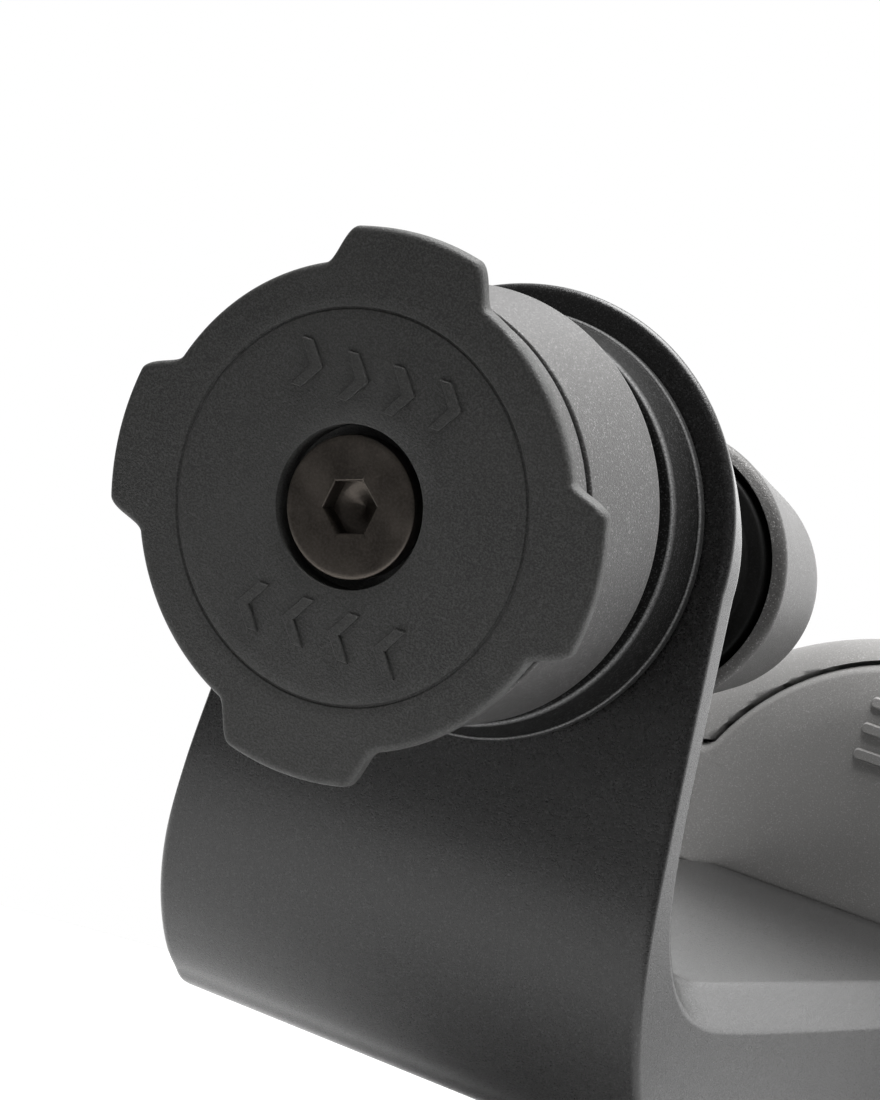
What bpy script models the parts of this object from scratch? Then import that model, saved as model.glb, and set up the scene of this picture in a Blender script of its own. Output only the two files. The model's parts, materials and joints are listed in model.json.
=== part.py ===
"""Phone mount: a twist-lock head on a tilting swivel, a bent arm and a suction base.

Lengths below are millimetres. The working frame has X to the right, Y from the head's face
towards the suction face and Z up, with its zero on the swivel axis. World zero is the centre
of the suction face, so every point is shifted by ORIGIN and scaled to metres.
"""

import math

import bmesh
import bpy
from mathutils import Matrix, Vector

MM = 0.001
GAP = 0.3

# Overall places
BASE_Z = -33.0
FACE_Y = 152.0
ORIGIN = Vector((0.0, FACE_Y, BASE_Z))

# Head and collar, measured along the head axis from the face
SWIVEL_Y = 10.9
HEAD_TILT = math.radians(7.8)
LOBE_RADIUS = 17.2
DISC_RADIUS = 15.1
DISC_THICK = 1.35
LOBE_HALF_ANGLE = math.radians(18.2)
LOBE_FLANK = math.radians(4.2)
FLANK_STEPS = (0.0, 0.25, 0.5, 0.75, 1.0)
GROOVE_RADIUS = 12.2
GROOVE_WIDE = 0.24
GROOVE_DEEP = 0.15
RECESS_RADIUS = 5.1
RECESS_DEPTH = 1.9
SPIGOT_RADIUS = 11.6
SPIGOT_BACK = 4.2
SCREW_RADIUS = 4.46
SCREW_FRONT = 0.1
SCREW_BACK = 9.6
SHANK_RADIUS = 2.5
KEY_RADIUS = 1.85
KEY_DEPTH = 1.2
KEY_TURN = math.radians(17.0)
RING_RADIUS = 14.1
RING_BORE = 12.1
COLLAR_RADIUS = 14.2
COLLAR_FRONT = 4.7
COLLAR_STEP = 7.4
COLLAR_BACK = 15.2
COLLAR_LIP_BORE = 11.0
COLLAR_BORE = 12.85
SPRING_RADIUS = 11.85
SPRING_FRONT = 8.8
SPRING_BACK = 12.6
SPRING_WIRE = 0.42
HUB_RADIUS = 10.5
HUB_INNER = 8.2
HUB_MOUTH_Y = 8.2
PLATE_HUB_RADIUS = 7.9
HUB_PLATE_BACK = 7.2
INSERT_BORE = 3.5

# Swivel seat, stud and knob, along the swivel axis
SEAT_FRONT = 18.1
SEAT_RADIUS = 13.57
SEAT_BASE_RADIUS = 14.34
SEAT_BASE_Y = 21.44
PLATE_FRONT = 22.4
PLATE_THICK = 5.0
PLATE_RADIUS = 16.2
STUD_FRONT = 14.0
STUD_NECK = 18.2
STUD_BACK = 61.0
STUD_RADIUS = 3.0
SLEEVE_RADIUS = 5.3
SLEEVE_BACK = 46.6
NECK_RADIUS = 7.5
NECK_STEP = 48.3
NECK_LIP_RADIUS = 8.45
NECK_BACK = 50.0
THRUST_RADIUS = 6.5
KNOB_FRONT = 48.2
KNOB_WEB = 50.9
# (radius, distance behind the knob's front)
KNOB_SIDE = ((9.9, 0.0), (10.25, 0.4), (9.2, 6.8), (8.2, 12.8), (7.7, 14.3), (6.8, 15.1))
KNOB_RIM_BORE = 9.0
KNOB_BORE = 5.3

# Arm: (outer y, outer z, inner y, inner z, half width) down the plate and along the foot
ARM_ROWS = (
    (22.4, 0.0, 27.4, 0.0, 16.2),
    (22.6, -8.0, 27.6, -8.0, 17.0),
    (23.1, -15.5, 28.1, -15.0, 17.65),
    (23.8, -22.5, 28.9, -19.8, 18.25),
    (25.4, -28.2, 30.6, -23.3, 18.75),
    (28.6, -33.2, 33.2, -25.4, 19.1),
    (33.2, -37.2, 36.9, -26.4, 19.3),
    (39.0, -38.9, 42.0, -26.6, 19.4),
    (60.0, -38.9, 60.0, -26.4, 19.4),
    (90.0, -38.9, 90.0, -25.9, 19.2),
    (121.0, -38.9, 121.0, -25.4, 18.8),
)
ARM_CHAMFER = 2.6
ARM_ROUND = 0.9

# Suction base
HOUSING_RADIUS = 32.8
HOUSING_INNER = 28.6
HOUSING_FRONT = 122.0
HOUSING_BACK = 143.0
HOUSING_DECK = 8.5
CLAMP_DEPTH = 4.0
CLAMP_RADIUS = 6.4
BOLT_BORE = 2.6
DOME_START = 23.5
DOME_DEPTH = 6.0
DOME_STEPS = 6
LEVER_AXIS_Y = 126.5
LEVER_AXIS_Z = -22.3
LEVER_THICK = 5.0
LEVER_DOME = 21.7
LEVER_CENTRE = -24.0
LEVER_WAIST = 23.0
LEVER_SHOULDER = -17.2
LEVER_LOW = -24.6
LEVER_GAP = 0.7
LEVER_ARC_START = 21.0
POCKET_DEPTH = 6.0
SWEEP_RADIUS = 5.8
PIN_REACH = 24.8
PIN_RADIUS = 0.8
PIN_BORE = 1.05
CAM_RADIUS = 2.6
CAM_OFFSET = 1.2
CAM_REST = math.radians(-145.0)
CAM_WIDE = 4.4
BOLT_RADIUS = 2.0
BOLT_FRONT = 104.5
BOLT_HEAD_RADIUS = 4.2
BOLT_HEAD_THICK = 3.0
GASKET_RADIUS = 7.0
GASKET_THICK = 0.4

# Stem, cup and pad
STEM_RADIUS = 2.2
STEM_BACK = 137.2
STEM_SPRING_RADIUS = 4.2
STEM_SPRING_FRONT = 131.0
STEM_SPRING_BACK = 136.0
PULL_RADIUS = 23.5
PULL_FRONT = 137.5
PULL_THICK = 2.0
CUP_BACK = 150.5
# (radius, along) corners of the cup's outside, front to back
CUP_SIDE = (
    (26.0, 141.2),
    (28.2, 142.2),
    (28.2, 143.4),
    (30.6, 143.4),
    (31.3, 144.4),
    (31.4, 148.5),
    (31.0, 150.1),
)
PAD_RADIUS = 30.0

COLOURS = {
    "moulded": ((0.030, 0.030, 0.030), 0.55, 0.0),
    "coated": ((0.035, 0.034, 0.035), 0.45, 0.0),
    "satin": ((0.150, 0.145, 0.148), 0.42, 0.6),
    "oxide": ((0.055, 0.050, 0.048), 0.35, 0.9),
    "steel": ((0.500, 0.500, 0.500), 0.30, 1.0),
    "brass": ((0.620, 0.470, 0.220), 0.30, 1.0),
    "rubber": ((0.020, 0.020, 0.020), 0.70, 0.0),
    "gel": ((0.060, 0.060, 0.062), 0.25, 0.0),
}


def material(name):
    found = bpy.data.materials.get(name)
    if found:
        return found
    colour, roughness, metallic = COLOURS[name]
    made = bpy.data.materials.new(name)
    made.use_nodes = True
    shader = made.node_tree.nodes["Principled BSDF"]
    shader.inputs["Base Color"].default_value = (*colour, 1.0)
    shader.inputs["Roughness"].default_value = roughness
    shader.inputs["Metallic"].default_value = metallic
    return made


def head_frame():
    """Carries points measured along the head axis into the working frame."""
    pivot = Vector((0.0, SWIVEL_Y, 0.0))
    tilt = Matrix.Rotation(HEAD_TILT, 4, "X")
    return Matrix.Translation(pivot) @ tilt @ Matrix.Translation(-pivot)


HEAD = head_frame()
ARM = Matrix.Identity(4)
BASE = (0.0, 0.0, BASE_Z)
HINGE = (0.0, LEVER_AXIS_Y, LEVER_AXIS_Z)


def add(name, points, faces, finish, pivot, frame=ARM, hidden=False):
    """An object from working-frame points, with its origin at pivot."""
    mesh = bpy.data.meshes.new(name)
    centre = Vector(pivot)
    mesh.from_pydata([(Vector(p) - centre) * MM for p in points], [], faces)
    shape = bmesh.new()
    shape.from_mesh(mesh)
    bmesh.ops.recalc_face_normals(shape, faces=shape.faces)
    if shape.calc_volume(signed=True) < 0:
        bmesh.ops.reverse_faces(shape, faces=shape.faces)
    shape.to_mesh(mesh)
    shape.free()
    mesh.shade_smooth()
    mesh.set_sharp_from_angle(angle=math.radians(32))
    mesh.materials.append(material(finish))
    made = bpy.data.objects.new(name, mesh)
    place = (frame @ centre - ORIGIN) * MM
    made.matrix_world = Matrix.Translation(place) @ frame.to_3x3().to_4x4()
    bpy.context.scene.collection.objects.link(made)
    if hidden:
        made.hide_render = True
        made.display_type = "WIRE"
    return made


def turned(profile, sides, centre=(0.0, 0.0, 0.0), axis="Y", phase=0.0):
    """Points and faces of (radius, along) corners turned about an axis. A ring when closed off the axis."""
    points = []
    rings = []
    for radius, along in profile:
        if radius < 1e-6:
            rings.append([len(points)])
            points.append(on_axis(0.0, 0.0, along, centre, axis))
            continue
        rings.append(list(range(len(points), len(points) + sides)))
        for i in range(sides):
            angle = phase + 2 * math.pi * i / sides
            u = radius * math.cos(angle)
            v = radius * math.sin(angle)
            points.append(on_axis(u, v, along, centre, axis))
    pairs = list(zip(rings, rings[1:]))
    if len(rings[0]) > 1 and len(rings[-1]) > 1:
        pairs.append((rings[-1], rings[0]))
    faces = []
    for first, second in pairs:
        faces += band(first, second, sides)
    return points, faces


def on_axis(u, v, along, centre, axis):
    places = {"Y": (u, along, v), "X": (along, u, v), "Z": (u, v, along)}
    return tuple(a + b for a, b in zip(places[axis], centre))


def band(first, second, sides):
    if len(first) == 1:
        return [(first[0], second[i], second[(i + 1) % sides]) for i in range(sides)]
    if len(second) == 1:
        return [(first[(i + 1) % sides], first[i], second[0]) for i in range(sides)]
    return [(first[i], second[i], second[(i + 1) % sides], first[(i + 1) % sides]) for i in range(sides)]


def stacked(loops):
    """Points and faces through loops of equal length, capped at both ends."""
    count = len(loops[0])
    points = [p for loop in loops for p in loop]
    faces = []
    for k in range(len(loops) - 1):
        start = k * count
        for i in range(count):
            j = (i + 1) % count
            faces.append((start + i, start + j, start + count + j, start + count + i))
    faces.append(tuple(range(count)))
    last = (len(loops) - 1) * count
    faces.append(tuple(range(last, last + count)))
    return points, faces


def lathe(name, profile, finish, pivot=(0.0, 0.0, 0.0), frame=ARM, sides=40, centre=(0.0, 0.0, 0.0)):
    points, faces = turned(profile, sides, centre)
    return add(name, points, faces, finish, pivot, frame)


def cut(target, name, points, faces, frame=ARM, operation="DIFFERENCE"):
    """Takes a closed shape out of the target, or keeps only what lies inside it."""
    tool = add("cut_" + name, points, faces, "steel", (0.0, 0.0, 0.0), frame, hidden=True)
    modifier = target.modifiers.new(name, "BOOLEAN")
    modifier.operation = operation
    modifier.solver = "EXACT"
    modifier.object = tool


def rod(radius, start, end, sides, centre=(0.0, 0.0, 0.0), axis="Y"):
    return turned([(0.0, start), (radius, start), (radius, end), (0.0, end)], sides, centre, axis)


def tube(inner, outer, start, end):
    return [(inner, start), (outer, start), (outer, end), (inner, end)]


def coil(radius, wire, start, end, turns, steps, sides):
    """A round-wire spring along Y with closed ends, as loops."""
    loops = []
    total = int(turns * steps)
    rise = end - start - 2 * wire
    for k in range(total + 1):
        angle = 2 * math.pi * k / steps
        share = min(max((k / total - 0.12) / 0.76, 0.0), 1.0)
        along = start + wire + rise * share
        out = Vector((math.cos(angle), 0.0, math.sin(angle)))
        middle = out * radius + Vector((0.0, along, 0.0))
        loop = []
        for i in range(sides):
            turn = 2 * math.pi * i / sides
            loop.append(middle + out * (wire * math.cos(turn)) + Vector((0.0, wire * math.sin(turn), 0.0)))
        loops.append(loop)
    return stacked(loops)


def arc(radius, centre_r, centre_y, start, end, steps):
    """(radius, along) corners on an arc whose angle runs from the along axis."""
    corners = []
    for i in range(steps + 1):
        angle = math.radians(start + (end - start) * i / steps)
        corners.append((centre_r + radius * math.sin(angle), centre_y + radius * math.cos(angle)))
    return corners


# Head


def lobe_outline(inset):
    """The disc's edge with its four lobes, as (x, z) corners."""
    outer = LOBE_RADIUS - inset
    inner = DISC_RADIUS - inset
    half = LOBE_HALF_ANGLE - inset / DISC_RADIUS
    flank = [(LOBE_FLANK * (1.0 - 2.0 * t), inner + (outer - inner) * blend(t)) for t in FLANK_STEPS]
    corners = []
    for lobe in range(4):
        middle = lobe * math.pi / 2
        marks = [(-half - angle, radius) for angle, radius in flank]
        crown = half - LOBE_FLANK
        marks += [(crown * (-0.75 + 0.5 * i), outer) for i in range(4)]
        marks += [(half + angle, radius) for angle, radius in reversed(flank)]
        free = math.pi / 2 - 2 * (half + LOBE_FLANK)
        marks += [(half + LOBE_FLANK + free * i / 6, inner) for i in range(1, 6)]
        for angle, radius in marks:
            corners.append((radius * math.cos(middle + angle), radius * math.sin(middle + angle)))
    return corners


def blend(t):
    """Rises from 0 to 1 with level ends."""
    return t * t * (3.0 - 2.0 * t)


def make_head():
    layers = ((0.45, 0.0), (0.12, 0.12), (0.0, 0.45), (0.0, DISC_THICK - 0.2), (0.2, DISC_THICK))
    loops = [[(x, y, z) for x, z in lobe_outline(inset)] for inset, y in layers]
    spigot = []
    for y in (DISC_THICK, SPIGOT_BACK):
        ring = []
        for x, _, z in loops[-1]:
            scale = SPIGOT_RADIUS / math.hypot(x, z)
            ring.append((x * scale, y, z * scale))
        spigot.append(ring)
    points, faces = stacked(loops + spigot)
    head = add("mount_head", points, faces, "moulded", (0.0, 0.0, 0.0), HEAD)
    cut(head, "recess", *rod(RECESS_RADIUS, -1.0, RECESS_DEPTH, 36), HEAD)
    cut(head, "bore", *rod(SHANK_RADIUS + GAP, 0.5, 6.0, 24), HEAD)
    half = GROOVE_WIDE / 2
    groove = turned(tube(GROOVE_RADIUS - half, GROOVE_RADIUS + half, -0.5, GROOVE_DEEP), 48)
    cut(head, "groove", *groove, HEAD)


def make_head_screw():
    seat = RECESS_DEPTH - GAP
    profile = [(0.0, SCREW_FRONT), (SCREW_RADIUS - 0.3, SCREW_FRONT), (SCREW_RADIUS, SCREW_FRONT + 0.3)]
    profile += [(SCREW_RADIUS, seat), (SHANK_RADIUS, seat), (SHANK_RADIUS, SCREW_BACK), (0.0, SCREW_BACK)]
    screw = lathe("head_screw", profile, "oxide", frame=HEAD, sides=32)
    socket = [(0.0, -1.0), (KEY_RADIUS, -1.0), (KEY_RADIUS, KEY_DEPTH), (0.0, KEY_DEPTH + 0.7)]
    cut(screw, "socket", *turned(socket, 6, phase=KEY_TURN), HEAD)


def make_collar():
    """The fixed ring behind the disc, the sliding collar behind it and the collar's spring."""
    front = DISC_THICK + GAP
    back = COLLAR_FRONT - GAP
    ring = [(RING_BORE, front), (RING_RADIUS - 0.2, front), (RING_RADIUS, front + 0.25)]
    ring += [(RING_RADIUS, back - 0.15), (RING_RADIUS - 0.15, back), (RING_BORE, back)]
    lathe("front_ring", ring, "satin", frame=HEAD)
    front = COLLAR_FRONT
    back = COLLAR_BACK
    collar = [(COLLAR_LIP_BORE, front), (COLLAR_RADIUS - 0.15, front), (COLLAR_RADIUS, front + 0.15)]
    collar += [(COLLAR_RADIUS - 0.1, back - 1.3), (COLLAR_RADIUS - 0.45, back - 0.45), (COLLAR_RADIUS - 1.0, back)]
    collar += [(COLLAR_BORE, back), (COLLAR_BORE, COLLAR_STEP), (COLLAR_LIP_BORE, COLLAR_STEP)]
    lathe("lock_collar", collar, "satin", frame=HEAD)
    points, faces = coil(SPRING_RADIUS, SPRING_WIRE, SPRING_FRONT, SPRING_BACK, 2.5, 18, 5)
    add("collar_spring", points, faces, "steel", (0.0, SPRING_FRONT, 0.0), HEAD)
    seat = tube(HUB_RADIUS + 0.25, COLLAR_BORE - 0.4, SPRING_BACK + GAP, SPRING_BACK + GAP + 1.0)
    lathe("spring_seat", seat, "steel", frame=HEAD)


def make_hub():
    """A ball shell around the stud's head, closed in front by the threaded plate."""
    outer = arc(HUB_RADIUS, 0.0, SWIVEL_Y, 126.0, 33.0, 7)
    inner = arc(HUB_INNER, 0.0, SWIVEL_Y, 40.0, 112.0, 5)
    front = [(HUB_INNER, HUB_MOUTH_Y), (HUB_INNER, outer[0][1])]
    lathe("swivel_hub", outer + inner + front, "satin", (0.0, SWIVEL_Y, 0.0), HEAD, 32)
    plate = tube(INSERT_BORE, PLATE_HUB_RADIUS, COLLAR_FRONT, HUB_PLATE_BACK)
    lathe("hub_plate", plate, "satin", frame=HEAD)
    insert = tube(SHANK_RADIUS + GAP, INSERT_BORE - GAP, COLLAR_FRONT, HUB_PLATE_BACK)
    lathe("head_insert", insert, "brass", frame=HEAD, sides=24)


def make_swivel():
    inner = arc(HUB_RADIUS + GAP, 0.0, SWIVEL_Y, 52.0, 35.0, 3)
    front = SEAT_FRONT + 0.1
    profile = [(SEAT_RADIUS - 0.35, front), (SEAT_RADIUS, front + 0.3)]
    profile += [(SEAT_BASE_RADIUS, SEAT_BASE_Y), (SEAT_BASE_RADIUS, PLATE_FRONT - GAP)]
    profile += [(6.2, PLATE_FRONT - GAP)] + inner[::-1] + [(9.4, front), (SEAT_RADIUS - 1.0, SEAT_FRONT)]
    lathe("swivel_seat", profile, "coated")
    cap = arc(HUB_INNER - GAP, 0.0, SWIVEL_Y, 62.0, 24.0, 4)
    shank = [(STUD_RADIUS, STUD_NECK), (STUD_RADIUS, STUD_BACK), (0.0, STUD_BACK)]
    lathe("swivel_stud", [(0.0, STUD_FRONT)] + cap + shank, "steel", (0.0, SWIVEL_Y, 0.0), sides=28)
    sleeve = tube(STUD_RADIUS + GAP, SLEEVE_RADIUS, PLATE_FRONT + PLATE_THICK + GAP, SLEEVE_BACK)
    lathe("stud_sleeve", sleeve, "satin", sides=32)


def make_knob():
    """The two washers and the tapered knob, which ride the stud together."""
    bore = STUD_RADIUS + GAP
    front = SLEEVE_BACK + GAP
    washer = [(bore, front), (NECK_RADIUS - 0.2, front), (NECK_RADIUS, front + 0.3), (NECK_RADIUS, NECK_STEP)]
    washer += [(NECK_LIP_RADIUS - 0.2, NECK_STEP + 0.3), (NECK_LIP_RADIUS, NECK_STEP + 0.7)]
    washer += [(NECK_LIP_RADIUS, NECK_BACK), (bore, NECK_BACK)]
    lathe("neck_washer", washer, "rubber")
    lathe("thrust_washer", tube(bore, THRUST_RADIUS, NECK_BACK + 0.2, KNOB_WEB - 0.2), "steel", sides=32)
    pivot = (0.0, KNOB_FRONT, 0.0)
    hollow = [(KNOB_BORE, KNOB_WEB), (KNOB_RIM_BORE, KNOB_WEB), (KNOB_RIM_BORE, KNOB_FRONT)]
    side = [(radius, KNOB_FRONT + behind) for radius, behind in KNOB_SIDE]
    back = side[-1][1]
    lathe("clamp_knob", hollow + side + [(KNOB_BORE, back)], "satin", pivot)
    insert = tube(bore, KNOB_BORE - GAP, KNOB_WEB + GAP, STUD_BACK - 0.6)
    lathe("knob_insert", insert, "brass", pivot, sides=24)
    front = STUD_BACK + 0.6
    edge = KNOB_BORE - GAP
    plug = [(0.0, front), (edge, front), (edge, back - 0.5), (edge - 0.4, back - 0.2), (0.0, back - 0.2)]
    lathe("knob_plug", plug, "moulded", pivot, sides=32)


# Arm


def arm_rows():
    """Rows from the tip of the round top to the end of the foot."""
    rows = []
    for i in range(13):
        angle = math.radians(7.5 * i)
        rows.append(("round", math.sin(angle), math.cos(angle)))
    smooth = []
    for k in range(len(ARM_ROWS) - 1):
        before = ARM_ROWS[max(k - 1, 0)]
        after = ARM_ROWS[min(k + 2, len(ARM_ROWS) - 1)]
        steps = 4 if k < 7 else 1
        for i in range(steps):
            t = (i + 1) / steps
            corners = zip(before, ARM_ROWS[k], ARM_ROWS[k + 1], after)
            smooth.append(tuple(spline(*values, t) for values in corners))
    rows += [("straight", row) for row in smooth]
    return rows


def spline(a, b, c, d, t):
    """Catmull-Rom between b and c."""
    square = 2 * a - 5 * b + 4 * c - d
    cube = 3 * b - a - 3 * c + d
    return 0.5 * (2 * b + (c - a) * t + square * t * t + cube * t ** 3)


def arm_point(row, inset, deep):
    """A point so far in from the side and so deep; a negative depth counts back from the inner face."""
    if row[0] == "round":
        reach = PLATE_RADIUS - inset
        return (reach * row[1], PLATE_FRONT + from_outside(deep, PLATE_THICK), reach * row[2])
    outer_y, outer_z, inner_y, inner_z, half = row[1]
    start = Vector((half - inset, outer_y, outer_z))
    through = Vector((0.0, inner_y - outer_y, inner_z - outer_z))
    thick = through.length
    return tuple(start + through * (from_outside(deep, thick) / thick))


def from_outside(deep, thick):
    return deep if deep >= 0 else thick + deep


def make_arm():
    corners = ((ARM_ROUND, 0.0), (0.3, 0.25), (0.0, ARM_ROUND), (0.0, -ARM_CHAMFER))
    corners += ((0.2, -ARM_CHAMFER + 0.35), (ARM_CHAMFER, -1e-9))
    rows = arm_rows()
    wide = len(corners)
    points = []
    right = []
    left = []
    for index, row in enumerate(rows):
        made = [arm_point(row, inset, deep) for inset, deep in corners]
        right.append(list(range(len(points), len(points) + wide)))
        points += made
        if index == 0:
            left.append(right[0])
            continue
        left.append(list(range(len(points), len(points) + wide)))
        points += [(-x, y, z) for x, y, z in made]
    faces = []
    for k in range(len(rows) - 1):
        for c in range(wide - 1):
            faces.append((right[k][c], right[k + 1][c], right[k + 1][c + 1], right[k][c + 1]))
            faces.append((left[k][c + 1], left[k + 1][c + 1], left[k + 1][c], left[k][c]))
        for c, order in ((0, 1), (wide - 1, -1)):
            face = [right[k][c], left[k][c], left[k + 1][c], right[k + 1][c]][::order]
            faces.append(tuple(dict.fromkeys(face)))
    faces.append(tuple(right[-1] + left[-1][::-1]))
    arm = add("arm_bracket", points, faces, "coated", (0.0, ARM_ROWS[-1][0], BASE_Z))
    cut(arm, "stud_hole", *rod(STUD_RADIUS + GAP, PLATE_FRONT - 5.0, PLATE_FRONT + 10.0, 24))
    cut(arm, "bolt_hole", *rod(BOLT_RADIUS + GAP, BOLT_FRONT - 0.5, HOUSING_FRONT, 24, BASE))


# Suction base


def dome_depth(distance):
    """How far the base's rounded front has fallen back, this far from its axis."""
    share = (distance - DOME_START) / (HOUSING_RADIUS - DOME_START)
    return DOME_DEPTH * (1.0 - math.sqrt(1.0 - min(max(share, 0.0), 1.0) ** 2))


def dome_profile():
    """(radius, along) corners of the base's front, from its flat middle to its rim."""
    corners = []
    for i in range(DOME_STEPS + 1):
        share = math.sin(math.radians(90.0 * i / DOME_STEPS))
        radius = DOME_START + (HOUSING_RADIUS - DOME_START) * share
        corners.append((radius, HOUSING_FRONT + dome_depth(radius)))
    return corners


def lever_outline(grow):
    """A domed plate on a wider foot, as (x, z) corners."""
    dome = LEVER_DOME + grow
    waist = LEVER_WAIST + grow
    low = LEVER_LOW - grow
    shoulder = LEVER_SHOULDER + grow
    corners = [(-waist, low), (waist, low), (waist, shoulder - 1.2), (waist - 1.0, shoulder)]
    for i in range(15):
        angle = math.radians(LEVER_ARC_START + (180.0 - 2 * LEVER_ARC_START) * i / 14)
        corners.append((dome * math.cos(angle), LEVER_CENTRE + dome * math.sin(angle)))
    corners += [(-waist + 1.0, shoulder), (-waist, shoulder - 1.2)]
    return corners


def lever_loops(grow, layers):
    return [[(x, y, z) for x, z in lever_outline(grow - inset)] for inset, y in layers]


def make_housing():
    front = HOUSING_FRONT
    back = HOUSING_BACK
    deck = front + HOUSING_DECK
    clamp = front + CLAMP_DEPTH
    profile = [(BOLT_BORE, front)] + dome_profile()
    profile += [(HOUSING_RADIUS, back - 0.6), (HOUSING_RADIUS - 0.6, back), (HOUSING_INNER + 0.4, back)]
    profile += [(HOUSING_INNER, deck), (CLAMP_RADIUS, deck), (CLAMP_RADIUS, clamp), (BOLT_BORE, clamp)]
    points, faces = turned(profile, 44, BASE)
    housing = add("base_housing", points, faces, "satin", BASE)
    layers = ((0.0, front - 2.0), (0.0, front + POCKET_DEPTH))
    cut(housing, "lever_pocket", *stacked(lever_loops(LEVER_GAP, layers)))
    slot = [(-2.6, front), (2.6, front), (2.6, front + 12.0), (-2.6, front + 12.0)]
    loops = [[(x, y, z) for x, y in slot] for z in (-27.6, -15.0)]
    cut(housing, "cam_slot", *stacked(loops))
    reach = LEVER_WAIST + LEVER_GAP
    cut(housing, "lever_sweep", *rod(SWEEP_RADIUS, -reach, reach, 24, HINGE, "X"))
    cut(housing, "pin_hole", *rod(PIN_BORE, -PIN_REACH - GAP, PIN_REACH + GAP, 16, HINGE, "X"))


def make_lever():
    front = HOUSING_FRONT
    layers = ((0.0, front - 2.0), (0.0, front + LEVER_THICK + GAP))
    points, faces = stacked(lever_loops(0.0, layers))
    lever = add("suction_lever", points, faces, "satin", HINGE)
    dome = [(0.0, front)] + dome_profile() + [(HOUSING_RADIUS, front + 12.0), (0.0, front + 12.0)]
    cut(lever, "lever_dome", *turned(dome, 44, BASE), operation="INTERSECT")
    cut(lever, "lever_bore", *rod(PIN_BORE, -PIN_REACH, PIN_REACH, 16, HINGE, "X"))
    gap = [(-2.5, front + 0.7), (2.5, front + 0.7), (2.5, front + 9.0), (-2.5, front + 9.0)]
    cut(lever, "cam_gap", *stacked([[(x, y, z) for x, y in gap] for z in (-26.5, -18.6)]))
    points, faces = rod(PIN_RADIUS, -PIN_REACH, PIN_REACH, 12, HINGE, "X")
    add("lever_pin", points, faces, "steel", HINGE)


def make_foot_joint():
    """The bolt that holds the foot to the base, and the thin gasket between them."""
    seat = HOUSING_FRONT + CLAMP_DEPTH + GAP
    head = seat + BOLT_HEAD_THICK
    bolt = [(0.0, BOLT_FRONT), (BOLT_RADIUS, BOLT_FRONT), (BOLT_RADIUS, seat), (BOLT_HEAD_RADIUS, seat)]
    bolt += [(BOLT_HEAD_RADIUS, head), (0.0, head)]
    lathe("foot_bolt", bolt, "oxide", BASE, sides=24, centre=BASE)
    back = HOUSING_FRONT - GAP
    gasket = tube(BOLT_BORE, GASKET_RADIUS, back - GASKET_THICK, back)
    lathe("foot_gasket", gasket, "rubber", BASE, sides=28, centre=BASE)


def make_stem():
    """The lever's cam, and the stem that it lets go with its spring."""
    middle = (0.0, 0.0, LEVER_AXIS_Z)
    offset = Vector((0.0, math.cos(CAM_REST), math.sin(CAM_REST))) * CAM_OFFSET
    points, faces = rod(CAM_RADIUS, -CAM_WIDE / 2, CAM_WIDE / 2, 24, Vector(HINGE) + offset, "X")
    cam = add("lever_cam", points, faces, "steel", HINGE)
    cut(cam, "cam_bore", *rod(PIN_BORE, -CAM_WIDE, CAM_WIDE, 16, HINGE, "X"))
    front = LEVER_AXIS_Y + offset.y + CAM_RADIUS + GAP
    stem = [(0.0, front), (STEM_RADIUS, front), (STEM_RADIUS, STEM_BACK), (0.0, STEM_BACK)]
    lathe("stem", stem, "steel", middle, sides=20, centre=middle)
    points, faces = coil(STEM_SPRING_RADIUS, SPRING_WIRE, STEM_SPRING_FRONT, STEM_SPRING_BACK, 3.0, 16, 5)
    points = [(p[0], p[1], p[2] + LEVER_AXIS_Z) for p in points]
    add("stem_spring", points, faces, "steel", middle)


def make_cup():
    """The plate that draws the cup, the rubber cup and its tacky pad."""
    back = PULL_FRONT + PULL_THICK
    plate = [(0.0, PULL_FRONT), (PULL_RADIUS, PULL_FRONT), (PULL_RADIUS, back), (0.0, back)]
    lathe("pull_plate", plate, "moulded", BASE, centre=BASE)
    cup = [(0.0, CUP_SIDE[0][1])] + list(CUP_SIDE) + [(CUP_SIDE[-1][0] - 0.4, CUP_BACK), (0.0, CUP_BACK)]
    lathe("suction_cup", cup, "rubber", BASE, sides=44, centre=BASE)
    front = CUP_BACK + GAP
    pad = [(0.0, front), (PAD_RADIUS, front), (PAD_RADIUS, FACE_Y), (0.0, FACE_Y)]
    lathe("gel_pad", pad, "gel", BASE, sides=44, centre=BASE)


def clear_scene():
    for item in list(bpy.data.objects):
        bpy.data.objects.remove(item)


def main():
    clear_scene()
    make_head()
    make_head_screw()
    make_collar()
    make_hub()
    make_swivel()
    make_knob()
    make_arm()
    make_housing()
    make_lever()
    make_foot_joint()
    make_stem()
    make_cup()


main()
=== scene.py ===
import json
import math

import bmesh
import bpy
from mathutils import Matrix, Vector


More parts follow.
